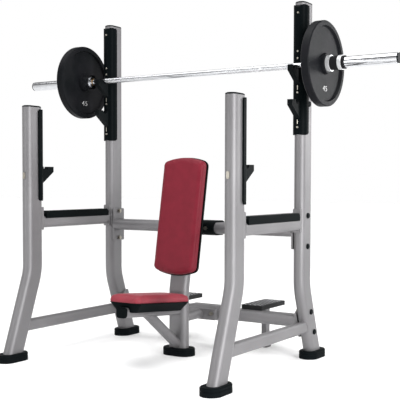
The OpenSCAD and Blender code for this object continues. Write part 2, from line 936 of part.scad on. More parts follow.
// A hex bolt along +Z: head below zero, shank above
module hex_bolt(len) {
  translate([0, 0, -head_h]) cylinder(r = head_r, h = head_h, $fn = 6);
  cylinder(r = bolt_r, h = len);
}

module hex_nut() {
  difference() {
    cylinder(r = head_r, h = nut_h, $fn = 6);
    translate([0, 0, -1]) cylinder(r = bolt_r + weld_gap, h = nut_h + 2);
  }
}

// Places a part on each crossbar bolt, at an upright's outer face, pointing inwards
module at_flange_bolts() {
  for (side = [-1, 1]) {
    for (z = [-1, 1])
      translate([side * (post_x + post_side + weld_gap), rear_post_y,
        upper_bar_z + z * upper_bolt_step]) rotate([0, -side * 90, 0]) children();
    for (z = [-1, 1])
      translate([side * (post_x + post_side + weld_gap),
        lower_bar_y - z * lower_bolt_step * sin(leg_tilt),
        lower_bar_z + z * lower_bolt_step * cos(leg_tilt)]) rotate([0, -side * 90, 0]) children();
  }
}

module at_saddle_bolts() {
  for (x = [-upper_saddle_bolt_x, upper_saddle_bolt_x])
    translate([x, rear_post_y - saddle_front - 4 - weld_gap, upper_bar_z])
      rotate([-90, 0, 0]) children();
}

module at_link_bolts() {
  for (x = [-link_bolt_x, link_bolt_x])
    translate([x, link_face_y - link_plate[1] - 2 * weld_gap, link_bolt_z])
      rotate([-90, 0, 0]) children();
}

module frame_bolts() {
  color(steel) {
    at_flange_bolts() hex_bolt(flange_grip + nut_h + 4);
    at_saddle_bolts() hex_bolt(saddle_front * 2 + 4);
    at_link_bolts() hex_bolt(2 * link_plate[1] + 4);
  }
}

module frame_nuts() {
  color(steel)
    at_flange_bolts() translate([0, 0, flange_grip]) hex_nut();
}

module cover_dome() {
  cylinder(r = cover_r, h = cover_h / 2);
  translate([0, 0, cover_h / 2]) cylinder(r1 = cover_r, r2 = cover_r - 2, h = cover_h / 2);
}

// Domed plastic covers over the bolt heads on the uprights' outer faces, and plugs of the
// same shape in the spare holes
module bolt_covers() {
  color(black) {
    at_flange_bolts() rotate([180, 0, 0])
      difference() {
        cover_dome();
        translate([0, 0, -1]) cylinder(r = head_r + 0.3, h = head_h + 1.2);
      }
    for (side = [-1, 1])
      at_plug(side) {
        translate([0, 0, -weld_gap]) rotate([180, 0, 0]) cover_dome();
        translate([0, 0, -1]) cylinder(r = bolt_hole_r - 0.2, h = 7);
      }
  }
}

// ---------- barbell ----------

// Turns a part drawn round +Z so that +Z points outwards along the bar, on one side
module on_bar(side) {
  translate([0, bar_y, bar_z]) rotate([0, side * 90, 0]) children();
}

module ring(r, bore, from, to) {
  translate([0, 0, from]) difference() {
    cylinder(r = r, h = to - from, $fn = 96);
    translate([0, 0, -1]) cylinder(r = bore, h = to - from + 2, $fn = 96);
  }
}

module bar_shaft() {
  color(chrome) {
    on_bar(1) translate([0, 0, -sleeve_in + 1]) cylinder(d = shaft_d, h = 2 * (sleeve_in - 1));
    for (side = [-1, 1]) on_bar(side) {
      translate([0, 0, sleeve_in - 1]) cylinder(r = pin_r, h = shaft_end - sleeve_in + 1);
      ring(pin_r + 3, pin_r - 0.5, shaft_end - 5, shaft_end - 2);
    }
  }
}

// A turned sleeve with its shoulder, a free end and a bored inside
module sleeve(side) {
  color(chrome)
    on_bar(side) difference() {
      union() {
        ring(sleeve_d / 2, bush_r + weld_gap, sleeve_in, bar_l / 2 - end_cap_t);
        ring(shoulder_r, sleeve_d / 2 - 1, shoulder[0], shoulder[1]);
        ring(shoulder_r - 8, sleeve_d / 2 - 1, sleeve_in, shoulder[0] + 1);
      }
      ring(sleeve_d, sleeve_d / 2 - 0.5, sleeve_groove_x, sleeve_groove_x + 2);
    }
}

module left_sleeve() { sleeve(-1); }
module right_sleeve() { sleeve(1); }

module bushes(side) {
  color("peru")
    on_bar(side) for (span = bush_span)
      ring(bush_r, pin_r + bush_fit, span[0] + 0.5, span[1]);
}

module left_bushes() { bushes(-1); }
module right_bushes() { bushes(1); }

module end_cap(side) {
  color(black)
    on_bar(side) {
      translate([0, 0, bar_l / 2 - end_cap_t + weld_gap])
        cylinder(r = sleeve_d / 2 - 1, h = end_cap_t - weld_gap);
      translate([0, 0, bar_l / 2 - end_cap_t - 8]) cylinder(r = bush_r, h = 9);
    }
}

module left_end_cap() { end_cap(-1); }
module right_end_cap() { end_cap(1); }

// An iron plate with a proud rim, a thin web and a hub, turned in one piece
module weight_plate(side) {
  mid = plate_in + plate_t / 2;
  rim = plate_d / 2;
  color(iron)
    on_bar(side) translate([0, 0, mid]) rotate_extrude($fn = 128)
      polygon([[hub_r, -plate_t / 2 - plate_hub_out], [plate_hub_r, -plate_t / 2 - plate_hub_out],
        [plate_hub_r + 4, -plate_web / 2], [rim - plate_rim - 5, -plate_web / 2],
        [rim - plate_rim, -plate_t / 2], [rim - 4, -plate_t / 2], [rim, -plate_t / 2 + 4],
        [rim, plate_t / 2 - 4], [rim - 4, plate_t / 2], [rim - plate_rim, plate_t / 2],
        [rim - plate_rim - 5, plate_web / 2], [plate_hub_r + 4, plate_web / 2],
        [plate_hub_r, plate_t / 2 + plate_hub_out], [hub_r, plate_t / 2 + plate_hub_out]]);
}

module left_plate() { weight_plate(-1); }
module right_plate() { weight_plate(1); }

module plate_hub(side) {
  color(steel)
    on_bar(side)
      ring(hub_r - weld_gap, bore_r, plate_in - plate_hub_out, plate_in + plate_t + plate_hub_out);
}

module left_plate_hub() { plate_hub(-1); }
module right_plate_hub() { plate_hub(1); }

// A clamp collar: a flanged chrome core under a rubber grip
module collar(side) {
  color(chrome)
    on_bar(side) {
      ring(38, bore_r, collar_in, collar_in + 18);
      ring(28, bore_r, collar_in + 17, collar_in + 78);
      ring(33.5, bore_r, collar_in + 56, collar_in + 74);
    }
}

module left_collar() { collar(-1); }
module right_collar() { collar(1); }

module collar_grip(side) {
  color(black)
    on_bar(side) {
      ring(32.5, 28 + weld_gap, collar_in + 18 + weld_gap, collar_in + 56 - weld_gap);
      ring(31, 28 + weld_gap, collar_in + 74 + weld_gap, collar_in + 86);
    }
}

module left_collar_grip() { collar_grip(-1); }
module right_collar_grip() { collar_grip(1); }

front_left_upright();
front_right_upright();
rear_left_upright();
rear_right_upright();
tube_caps();
front_feet();
rear_feet();
column_foot();
side_braces();
left_safety_rail();
right_safety_rail();
left_rail_cover();
right_rail_cover();
rail_saddles();
upper_crossbar();
lower_crossbar();
crossbar_flanges();
centre_column();
upper_saddle();
lower_saddle();
base_link();
seat_tube();
seat_tube_cap();
seat_brace();
seat_brackets();
seat_board();
seat_shell();
seat_cushion();
back_board();
back_cushion();
pad_bolts();
left_rack_guard();
right_rack_guard();
left_rack_hooks();
right_rack_hooks();
guard_screws();
rest_guards();
rest_hooks();
rest_bolts();
left_footplate();
right_footplate();
footplate_posts();
frame_bolts();
frame_nuts();
bolt_covers();
bar_shaft();
left_sleeve();
right_sleeve();
left_bushes();
right_bushes();
left_end_cap();
right_end_cap();
left_plate();
right_plate();
left_plate_hub();
right_plate_hub();
left_collar();
right_collar();
left_collar_grip();
right_collar_grip();
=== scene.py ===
"""Looks of the upright Olympic press bench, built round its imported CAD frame."""

import json
import math

import bmesh
import bpy
from mathutils import Matrix, Vector
from mathutils.bvhtree import BVHTree


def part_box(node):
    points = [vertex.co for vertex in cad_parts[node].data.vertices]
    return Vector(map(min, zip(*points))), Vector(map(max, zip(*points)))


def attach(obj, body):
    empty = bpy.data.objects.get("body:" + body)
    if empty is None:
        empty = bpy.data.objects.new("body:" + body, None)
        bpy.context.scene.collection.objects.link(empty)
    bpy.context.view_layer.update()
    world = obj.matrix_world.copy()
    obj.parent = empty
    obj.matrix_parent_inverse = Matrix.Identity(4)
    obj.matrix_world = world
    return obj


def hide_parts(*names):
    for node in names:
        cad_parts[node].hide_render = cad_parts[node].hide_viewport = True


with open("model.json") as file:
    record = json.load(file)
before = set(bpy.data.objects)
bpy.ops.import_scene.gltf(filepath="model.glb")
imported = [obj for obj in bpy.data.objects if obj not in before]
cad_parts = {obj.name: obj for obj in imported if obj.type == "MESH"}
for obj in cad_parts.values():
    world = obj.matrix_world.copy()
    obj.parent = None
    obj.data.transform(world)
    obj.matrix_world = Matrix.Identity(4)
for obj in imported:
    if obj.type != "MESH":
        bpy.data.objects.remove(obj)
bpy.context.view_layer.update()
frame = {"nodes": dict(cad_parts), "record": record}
record = frame["record"]
NODES = frame["nodes"]
SLOT_OF = {part["node"]: part["material_slot"] for part in record["subparts"]}
MM = 0.001

# Metres, in the frame's own axes: +Y runs to the rear and +Z up. Left and right are as seen
# from the front, with left at -X.
BAR_Y, BAR_Z = 0.1845, 1.424
POSTS = (("left", -0.587), ("right", 0.587))
BRACE_Z, RAIL_Z, LINK_Z = 0.162, 0.671, 0.184
GUARD_Y, GUARD_FACE_Y, SEAM_RADIUS = 0.246, 0.209, 0.0372
SEAT_AT = Vector((0, -0.180, 0.251))
SEAT_TILT = math.radians(-5.2)
BACK_TILT = math.radians(-10)


# ---------- materials ----------

class Graph:
    """A material's node tree, with short calls for the nodes used here."""

    def __init__(self, name):
        self.material = bpy.data.materials.new(name)
        self.material.use_nodes = True
        self.tree = self.material.node_tree
        self.shader = self.tree.nodes["Principled BSDF"]
        self.place = self.add("ShaderNodeTexCoord").outputs["Object"]

    def add(self, kind, inputs=None, **settings):
        node = self.tree.nodes.new(kind)
        for key, value in settings.items():
            setattr(node, key, value)
        for key, value in (inputs or {}).items():
            self.feed(node.inputs[key], value)
        return node

    def feed(self, socket, value):
        if isinstance(value, bpy.types.NodeSocket):
            self.tree.links.new(value, socket)
        else:
            socket.default_value = value

    def set(self, **values):
        for key, value in values.items():
            self.feed(self.shader.inputs[key.replace("_", " ")], value)

    def noise(self, scale, detail=2.0, rough=0.5, place=None):
        return self.add("ShaderNodeTexNoise", {"Vector": place or self.place, "Scale": scale,
                        "Detail": detail, "Roughness": rough}).outputs["Fac"]

    def cells(self, scale):
        return self.add("ShaderNodeTexVoronoi",
                        {"Vector": self.place, "Scale": scale}).outputs["Distance"]

    def math(self, op, a, b=0.0):
        return self.add("ShaderNodeMath", {0: a, 1: b}, operation=op).outputs[0]

    def spread(self, value, low, high, a=0.3, b=0.7):
        """Maps a value between a and b to between low and high."""
        return self.add("ShaderNodeMapRange", {"Value": value, "From Min": a, "From Max": b,
                        "To Min": low, "To Max": high}).outputs["Result"]

    def blend(self, factor, first, second):
        node = self.add("ShaderNodeMix", data_type="RGBA")
        self.feed(node.inputs[0], factor)
        self.feed(node.inputs[6], (*first, 1) if isinstance(first, tuple) else first)
        self.feed(node.inputs[7], (*second, 1) if isinstance(second, tuple) else second)
        return node.outputs[2]

    def bump(self, height, depth, strength=1.0, under=None):
        inputs = {"Height": height, "Distance": depth, "Strength": strength}
        if under is not None:
            inputs["Normal"] = under
        return self.add("ShaderNodeBump", inputs).outputs["Normal"]


def shade(rgb, k):
    return tuple(c * k for c in rgb)


def coated(name, rgb, rough, grain_mm, depth_mm, vary=0.15, metallic=0.0, gloss=0.09):
    """Paint, moulded plastic, rubber or plated metal with an even fine grain."""
    g = Graph(name)
    broad = g.noise(6.0, 3)
    grain = g.noise(1 / (grain_mm * MM), 2)
    mixed = g.math("ADD", g.math("MULTIPLY", broad, 0.6), g.math("MULTIPLY", grain, 0.4))
    g.set(Base_Color=g.blend(g.spread(mixed, 0, 1), shade(rgb, 1 - vary), shade(rgb, 1 + vary)),
          Roughness=g.spread(mixed, rough * 0.85, min(1, rough * 1.15)), Metallic=metallic,
          Normal=g.bump(grain, depth_mm * MM), Specular_IOR_Level=gloss)
    return g


def vinyl(name, rgb):
    """Upholstery vinyl: small pebbled cells, fine creases and a soft sheen."""
    g = Graph(name)
    pebble = g.cells(520)
    fine = g.noise(1500, 2)
    crease = g.noise(24, 4, 0.6)
    tone = g.math("ADD", g.math("MULTIPLY", crease, 0.7), g.math("MULTIPLY", pebble, 0.3))
    g.set(Base_Color=g.blend(g.spread(tone, 0, 1), shade(rgb, 0.86), shade(rgb, 1.14)),
          Roughness=g.spread(tone, 0.40, 0.55),
          Normal=g.bump(fine, 0.00008, 0.6, g.bump(pebble, 0.00022, 0.5)),
          Sheen_Weight=0.02, Sheen_Roughness=0.45, Specular_IOR_Level=0.14)
    return g


def silver_paint(name):
    """Metallic powder coat: flake sparkle over a fine orange peel."""
    g = Graph(name)
    flake = g.cells(2600)
    peel = g.noise(420, 2)
    broad = g.noise(3.2, 2)
    tone = g.math("ADD", g.math("MULTIPLY", broad, 0.7), g.math("MULTIPLY", flake, 0.3))
    g.set(Base_Color=g.blend(g.spread(tone, 0, 1), (0.160, 0.156, 0.162), (0.206, 0.202, 0.208)),
          Roughness=g.spread(flake, 0.46, 0.56, 0.1, 0.6), Metallic=0.55,
          Normal=g.bump(peel, 0.00002, 0.4), Coat_Weight=0.14, Coat_Roughness=0.34)
    return g


KNURL_FROM, KNURL_TO = 0.21, 0.565
RING_AT, RING_HALF = 0.405, 0.004
SHAFT_RADIUS_MM, KNURL_PER_MM = 14.25, 3.6


def bar_chrome(name):
    """Bright chrome, with diamond knurling on the hand grips of the shaft."""
    g = Graph(name)
    where = g.add("ShaderNodeSeparateXYZ", {"Vector": g.place}).outputs
    turn = g.math("ARCTAN2", g.math("SUBTRACT", where["Z"], BAR_Z),
                  g.math("SUBTRACT", where["Y"], BAR_Y))
    round_mm = g.math("MULTIPLY", turn, SHAFT_RADIUS_MM)
    along_mm = g.math("MULTIPLY", where["X"], 1000)
    one, two = (g.math("SINE", g.math("MULTIPLY", g.math(op, along_mm, round_mm), KNURL_PER_MM))
                for op in ("ADD", "SUBTRACT"))
    off_middle = g.math("ABSOLUTE", where["X"])
    grip = g.math("MULTIPLY", g.math("GREATER_THAN", off_middle, KNURL_FROM),
                  g.math("LESS_THAN", off_middle, KNURL_TO))
    off_ring = g.math("ABSOLUTE", g.math("SUBTRACT", off_middle, RING_AT))
    ring = g.math("LESS_THAN", off_ring, RING_HALF)
    knurled = g.math("SUBTRACT", grip, g.math("MULTIPLY", ring, grip))
    height = g.math("MULTIPLY", g.math("MULTIPLY", one, two), knurled)
    smear = g.noise(30, 3)
    g.set(Base_Color=g.blend(g.spread(smear, 0, 1), (0.58, 0.59, 0.61), (0.68, 0.69, 0.71)),
          Metallic=1.0, Roughness=g.math("ADD", g.spread(smear, 0.09, 0.16),
                                        g.math("MULTIPLY", knurled, 0.12)),
          Normal=g.bump(height, 0.00025, 0.5))
    return g


def plywood(name):
    g = Graph(name)
    stretched = g.add("ShaderNodeMapping", {"Vector": g.place, "Scale": (8, 1.2, 60)}).outputs[0]
    figure = g.noise(14, 4, 0.6, stretched)
    g.set(Base_Color=g.blend(g.spread(figure, 0, 1), (0.42, 0.28, 0.15), (0.66, 0.50, 0.32)),
          Roughness=g.spread(figure, 0.55, 0.7), Normal=g.bump(figure, 0.0002))
    return g


def cast_enamel(name):
    """Thick enamel over sand-cast iron: shallow lumps under a satin skin."""
    g = Graph(name)
    lumps = g.noise(260, 3, 0.6)
    broad = g.noise(9, 2)
    g.set(Base_Color=g.blend(g.spread(broad, 0, 1), (0.005, 0.006, 0.007), (0.010, 0.010, 0.012)),
          Roughness=g.spread(lumps, 0.36, 0.5), Specular_IOR_Level=0.05,
          Normal=g.bump(lumps, 0.00025, 0.6))
    return g


MATERIALS = {
    "frame_paint": silver_paint("frame_paint"),
    "black_plastic": coated("black_plastic", (0.0025, 0.004, 0.0045), 0.42, 0.9, 0.03,
                            gloss=0.022),
    "foot_rubber": coated("foot_rubber", (0.004, 0.0055, 0.0065), 0.6, 1.4, 0.06,
                          gloss=0.03),
    "hook_coating": coated("hook_coating", (0.004, 0.0055, 0.006), 0.45, 1.1, 0.05,
                           gloss=0.03),
    "zinc_steel": coated("zinc_steel", (0.33, 0.31, 0.27), 0.38, 0.6, 0.01, 0.08, 1.0, 0.5),
    "plywood": plywood("plywood"),
    "black_board": coated("black_board", (0.004, 0.005, 0.005), 0.5, 1.2, 0.04, gloss=0.03),
    # Seat and back share one red vinyl. The back's copy is darker: painted shade for the dimmer
    # light on its upright face.
    "seat_vinyl": vinyl("seat_vinyl", (0.222, 0.032, 0.045)),
    "back_vinyl": vinyl("back_vinyl", (0.152, 0.0115, 0.022)),
    "tread_coating": coated("tread_coating", (0.016, 0.016, 0.017), 0.55, 0.8, 0.06),
    # Pale grey on the tread's raised tips: a painted highlight standing for their lit tops.
    "tread_tip_highlight": coated("tread_tip_highlight", (0.30, 0.30, 0.31), 0.5, 0.8, 0.04, gloss=0.3),
    "bar_chrome": bar_chrome("bar_chrome"),
    "collar_satin": coated("collar_satin", (0.72, 0.73, 0.74), 0.4, 0.6, 0.01, 0.05, 0.6, 0.5),
    "bronze": coated("bronze", (0.55, 0.34, 0.14), 0.35, 0.8, 0.01, 0.1, 1.0, 0.5),
    "plate_enamel": cast_enamel("plate_enamel"),
    # Pale figures: white print on the inner face. On the outer face the same pale colour is a
    # painted highlight for the relief's glints.
    "plate_figures": coated("plate_figures", (0.50, 0.50, 0.50), 0.4, 0.8, 0.02),
    "grip_rubber": coated("grip_rubber", (0.010, 0.010, 0.011), 0.55, 0.8, 0.05),
}
LOOK_OF = {"left_collar": "collar_satin", "right_collar": "collar_satin"}
for name, obj in NODES.items():
    for material_slot in obj.material_slots:
        material_slot.link = "DATA"
    obj.data.materials.clear()
    obj.data.materials.append(MATERIALS[LOOK_OF.get(name, SLOT_OF[name])].material)


# ---------- mesh helpers ----------

def add_object(name, mesh, slot, body="frame", look=None):
    obj = bpy.data.objects.new(name, mesh)
    bpy.context.scene.collection.objects.link(obj)
    obj.data.materials.append(MATERIALS[look or slot].material)
    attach(obj, body)
    return obj


def mesh_from(name, points, faces):
    mesh = bpy.data.meshes.new(name)
    mesh.from_pydata([tuple(p) for p in points], [], faces)
    mesh.validate()
    mesh.update()
    return mesh


def smooth(obj):
    for polygon in obj.data.polygons:
        polygon.use_smooth = True


def apply_modifiers(obj):
    """Puts the evaluated shape into the mesh and removes the modifiers."""
    graph = bpy.context.evaluated_depsgraph_get()
    made = bpy.data.meshes.new_from_object(obj.evaluated_get(graph))
    obj.modifiers.clear()
    old = obj.data
    obj.data = made
    bpy.data.meshes.remove(old)


# ---------- pads ----------

def rounded_outline(w, h, r, n=10):
    points = []
    for cx, cy, start in ((w / 2 - r, h / 2 - r, 0), (r - w / 2, h / 2 - r, 90),
                          (r - w / 2, r - h / 2, 180), (w / 2 - r, r - h / 2, 270)):
        for k in range(n + 1):
            a = math.radians(start + 90 * k / n)
            points.append(Vector((cx + r * math.cos(a), cy + r * math.sin(a))))
    return points


def arched_outline(w, l, arch, corner, n=14):
    """The back pad's outline: straight sides, and two ends that are shallow arches."""
    r = (w * w / 4 + arch * arch) / (2 * arch)
    rounding_at = math.asin((w / 2 - corner) / (r - corner))
    corner_y = l / 2 - r + (r - corner) * math.cos(rounding_at)
    quarter = []
    for k in range(n + 1):
        a = (math.pi / 2 - rounding_at) * k / n
        quarter.append(Vector((w / 2 - corner + corner * math.cos(a),
                               corner_y + corner * math.sin(a))))
    for k in range(1, n + 1):
        a = rounding_at * (1 - k / n)
        quarter.append(Vector((r * math.sin(a), l / 2 - r + r * math.cos(a))))
    left = [Vector((-p.x, p.y)) for p in reversed(quarter[:-1])]
    top = quarter + left
    return top + [Vector((-p.x, -p.y)) for p in top]


def inset(outline, by):
    """Moves a convex outline inwards along its own normals."""
    n = len(outline)
    moved = []
    for i, p in enumerate(outline):
        ahead = outline[(i + 1) % n] - outline[i - 1]
        ahead.normalize()
        moved.append(Vector((p.x - by * ahead.y, p.y + by * ahead.x)))
    return moved


BACK_INSET, SIDE_INSET = 0.004, 0.0015
PAD_VOXEL, HELD_BELOW, LAST_FRAME = 0.005, 0.0045, 20


def stuffed(name, outline, thick, edge, swell, crown, slot, place):
    """A foam pad over a board: a closed form blown up as cloth, flat only on its back.

    The outline lies in the pad's own XY plane, its flat back at z = 0 and its face at z = thick.
    Left alone, the cloth lifts a face by up to 37 mm, so each point keeps at most swell of its
    own movement, which holds for about half of them, and crown adds a shallow dome. The
    outline starts wider than the finished pad, because the sides draw in.
    """
    rings = [(BACK_INSET, 0.0), (SIDE_INSET, 0.25 * thick), (SIDE_INSET, thick - edge)]
    rings += [(SIDE_INSET + edge * (1 - math.cos(a)), thick - edge + edge * math.sin(a))
              for a in (math.radians(d) for d in (22, 45, 67, 90))]
    points, faces = [], []
    n = len(outline)
    for by, z in rings:
        points += [(p.x, p.y, z) for p in inset(outline, by)]
    for k in range(len(rings) - 1):
        for i in range(n):
            j = (i + 1) % n
            faces.append((k * n + i, k * n + j, (k + 1) * n + j, (k + 1) * n + i))
    faces.append(tuple(reversed(range(n))))
    faces.append(tuple(range((len(rings) - 1) * n, len(rings) * n)))
    obj = add_object(name, mesh_from(name, points, faces), slot)
    remesh = obj.modifiers.new("even", "REMESH")
    remesh.mode = "VOXEL"
    remesh.voxel_size = PAD_VOXEL
    apply_modifiers(obj)
    rest = [v.co.copy() for v in obj.data.vertices]
    held = obj.vertex_groups.new(name="held")
    held.add([i for i, p in enumerate(rest) if p.z < HELD_BELOW], 1.0, "REPLACE")
    cloth = obj.modifiers.new("stuffing", "CLOTH")
    cloth.settings.quality = 5
    cloth.settings.mass = 0.4
    cloth.settings.tension_stiffness = 18
    cloth.settings.compression_stiffness = 18
    cloth.settings.bending_stiffness = 1.2
    cloth.settings.vertex_group_mass = "held"
    cloth.settings.use_pressure = True
    cloth.settings.uniform_pressure_force = 4
    cloth.settings.effector_weights.gravity = 0
    cloth.collision_settings.use_collision = False
    for step in range(1, LAST_FRAME + 1):
        bpy.context.scene.frame_set(step)
    apply_modifiers(obj)
    bpy.context.scene.frame_set(1)
    half_w = max(abs(p.x) for p in outline)
    half_l = max(abs(p.y) for p in outline)
    for vertex, start in zip(obj.data.vertices, rest):
        moved = vertex.co - start
        if moved.length > swell:
            moved *= swell / moved.length
        up = min(1.0, start.z / (thick * 0.9))
        dome = (crown * up * max(0.0, 1 - (start.x / half_w) ** 2)
                * max(0.0, 1 - (start.y / half_l) ** 4))
        vertex.co = start + moved * up + Vector((0, 0, dome))
    soften = obj.modifiers.new("soften", "SMOOTH")
    soften.iterations, soften.factor = 6, 0.5
    finer = obj.modifiers.new("finer", "SUBSURF")
    finer.levels = finer.render_levels = 1
    apply_modifiers(obj)
    obj.data.transform(place)
    smooth(obj)
    return obj


def seat_place(z):
    """The seat's own plane, tilted up to the front, z millimetres above the seat tube's axis."""
    return (Matrix.Translation(SEAT_AT) @ Matrix.Rotation(SEAT_TILT, 4, "X")
            @ Matrix.Translation((0, 0, z * MM)))


def node_middle(name):
    low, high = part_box(name)
    return (Vector(low) + Vector(high)) / 2


def back_place(depth):
    """The pad's plane, facing the lifter, depth metres in front of the cushion's middle."""
    middle = node_middle("back_cushion")
    face_out = Matrix.Rotation(math.radians(90), 4, "X")
    return (Matrix.Translation(middle) @ Matrix.Rotation(BACK_TILT, 4, "X") @ face_out
            @ Matrix.Translation((0, 0, depth)))


seat = stuffed("seat_pad", rounded_outline(0.187, 0.438, 0.034), 0.031, 0.013, 0.005, 0.004,
               "seat_vinyl", seat_place(46.2))
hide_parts("seat_cushion")
back = stuffed("back_pad", arched_outline(0.249, 0.599, 0.024, 0.030), 0.040, 0.010, 0.004,
               0.0015, "back_vinyl", back_place(-0.0204))
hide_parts("back_cushion")


# ---------- footplate treads ----------

def tread(side):
    """Raised lozenges in staggered rows over a footplate's top, coloured paler than the tray as a
    painted highlight for their lit tops.
    """
    low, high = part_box(side + "_footplate")
    middle = node_middle(side + "_footplate")
    top = high[2]
    points, faces = [], []
    pitch_x, pitch_y, long_half, short_half, rise = 0.0144, 0.0264, 0.0094, 0.0042, 0.0022
    margin_x, margin_y, tip_scale = 0.012, 0.016, 0.55
    columns = int((high[0] - low[0] - margin_x) / pitch_x)
    rows = int((high[1] - low[1] - margin_y) / pitch_y)
    for i in range(columns):
        for j in range(rows * 2):
            if (i + j) % 2:
                continue
            x = middle.x + (i - (columns - 1) / 2) * pitch_x
            y = middle.y + (j - (rows * 2 - 1) / 2) * pitch_y / 2
            base = len(points)
            for k, z in ((1.0, 0.0), (tip_scale, rise)):
                for dx, dy in ((short_half, 0), (0, long_half), (-short_half, 0), (0, -long_half)):
                    points.append((x + dx * k, y + dy * k, top + z))
            faces.append((base + 4, base + 5, base + 6, base + 7))
            faces.append((base + 3, base + 2, base + 1, base))
            for k in range(4):
                m = (k + 1) % 4
                faces.append((base + k, base + m, base + 4 + m, base + 4 + k))
    return add_object(side + "_tread", mesh_from(side + "_tread", points, faces), "tread_coating",
                      look="tread_tip_highlight")


for side in ("left", "right"):
    tread(side)


# ---------- plate numerals ----------

WEB_HALF, FIGURES_SUNK, FIGURES_DROP, FIGURES_WIDEN = 0.009, 0.0008, 0.116, 1.25


def numerals(side, outer):
    """The plate's weight in raised figures, low on one face."""
    sign = 1 if side == "right" else -1
    low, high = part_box(side + "_plate")
    web = (low[0] + high[0]) / 2 + sign * (1 if outer else -1) * WEB_HALF
    facing = sign if outer else -sign
    text = bpy.data.curves.new("figures", "FONT")
    text.body = "45"
    text.align_x, text.align_y = "CENTER", "CENTER"
    text.size = 0.036
    text.space_character = 1.12
    text.extrude = 0.0012
    text.offset = -0.0006
    holder = bpy.data.objects.new("figures", text)
    bpy.context.scene.collection.objects.link(holder)
    graph = bpy.context.evaluated_depsgraph_get()
    mesh = bpy.data.meshes.new_from_object(holder.evaluated_get(graph))
    bpy.data.objects.remove(holder)
    turned = Matrix(((0, 0, facing, 0), (facing, 0, 0, 0), (0, 1, 0, 0), (0, 0, 0, 1)))
    mesh.transform(Matrix.Diagonal((FIGURES_WIDEN, 1.0, 1.0, 1.0)))
    at = (web + facing * FIGURES_SUNK, BAR_Y, BAR_Z - FIGURES_DROP)
    mesh.transform(Matrix.Translation(at) @ turned)
    face = "outer" if outer else "inner"
    # Both faces take the pale figure look: print on the inner face, painted highlight on the outer
    # face.
    return add_object(f"{side}_plate_figures_{face}", mesh, "plate_enamel", side + "_plate_body",
                      look="plate_figures")


for side in ("left", "right"):
    for outer in (True, False):
        numerals(side, outer)


# ---------- welds, lips and guard details ----------

def loop_tube(name, points, radius, slot, ripple=0.0):
    """A closed bead along a loop of points, with the even ripple of a weld if asked."""
    sides = 8
    skew = Vector((0.13, 0.31, 0.94))  # any direction that the beads here don't follow
    n = len(points)
    verts, faces = [], []
    for i, p in enumerate(points):
        ahead = (points[(i + 1) % n] - points[i - 1]).normalized()
        across = ahead.cross(skew).normalized()
        other = ahead.cross(across)
        r = radius * (1 + ripple * math.sin(i * 1.9))
        verts += [p + (across * math.cos(a) + other * math.sin(a)) * r
                  for a in (2 * math.pi * k / sides for k in range(sides))]
    for i in range(n):
        j = (i + 1) % n
        faces += [(i * sides + k, i * sides + (k + 1) % sides, j * sides + (k + 1) % sides,
                   j * sides + k) for k in range(sides)]
    obj = add_object(name, mesh_from(name, verts, faces), slot)
    bm = bmesh.new()
    bm.from_mesh(obj.data)
    bmesh.ops.recalc_face_normals(bm, faces=bm.faces)
    bm.to_mesh(obj.data)
    bm.free()
    smooth(obj)
    return obj


def even_loop(points, step):
    """Places points along a closed loop at an even spacing."""
    ring = points + [points[0]]
    lengths = [(b - a).length for a, b in zip(ring, ring[1:])]
    total = sum(lengths)
    count = max(12, int(total / step))
    made, i, passed = [], 0, 0.0
    for k in range(count):
        at = total * k / count
        while i < len(lengths) - 1 and passed + lengths[i] < at:
            passed += lengths[i]
            i += 1
        made.append(ring[i].lerp(ring[i + 1], (at - passed) / max(lengths[i], 1e-9)))
    return made


def weld(name, outline, place, target, radius=0.0026):
    """A bead where a tube of this outline, run along its place's +Z, meets a node."""
    tree = BVHTree.FromPolygons([v.co for v in NODES[target].data.vertices],
                                [tuple(f.vertices) for f in NODES[target].data.polygons])
    ahead = (place.to_3x3() @ Vector((0, 0, 1))).normalized()
    hits = []
    for p in even_loop([Vector((q.x, q.y, 0)) for q in outline], 0.003):
        hit = tree.ray_cast(place @ p, ahead)[0]
        if hit is not None:
            hits.append(hit)
    if len(hits) > 8:
        loop_tube(name, even_loop(hits, 0.0032), radius, "frame_paint", ripple=0.14)


def along(start, towards):
    """A frame at a point whose +Z runs towards another, with X kept level."""
    z = (Vector(towards) - Vector(start)).normalized()
    x = Vector((1, 0, 0)) if abs(z.x) < 0.9 else Vector((0, 1, 0))
    y = z.cross(x).normalized()
    x = y.cross(z)
    return Matrix.Translation(start) @ Matrix((x, y, z)).transposed().to_4x4()


def circle_outline(r, n=40):
    return [Vector((r * math.cos(2 * math.pi * k / n), r * math.sin(2 * math.pi * k / n)))
            for k in range(n)]


RAIL = rounded_outline(0.044, 0.058, 0.018)
OVAL = rounded_outline(0.108, 0.058, 0.0289)
for side, x in POSTS:
    weld(side + "_brace_front_weld", RAIL, along((x, -0.3, BRACE_Z), (x, -1, BRACE_Z)),
         f"front_{side}_upright")
    weld(side + "_brace_rear_weld", RAIL, along((x, 0.2, BRACE_Z), (x, 1, BRACE_Z)),
         f"rear_{side}_upright")
    for end, y, ahead in (("front", -0.29, -1), ("rear", 0.19, 1)):
        weld(f"{side}_rail_{end}_weld", RAIL, along((x, y, RAIL_Z), (x, ahead, RAIL_Z)),
             "rail_saddles", 0.0022)
    for level, y, z in (("upper", 0.271, 0.637), ("lower", 0.3326, 0.186)):
        weld(f"{side}_{level}_crossbar_weld", OVAL, along((x * 0.85, y, z), (x, y, z)),
             "crossbar_flanges")
weld("link_weld", circle_outline(0.024), along((0, 0.16, LINK_Z), (0, 0, LINK_Z)),
     "centre_column")
weld("link_plate_weld", circle_outline(0.024), along((0, 0.16, LINK_Z), (0, 1, LINK_Z)),
     "lower_saddle")
strut = (Vector((0, -0.194, 0.236)), Vector((0, 0.044, 0.058)))
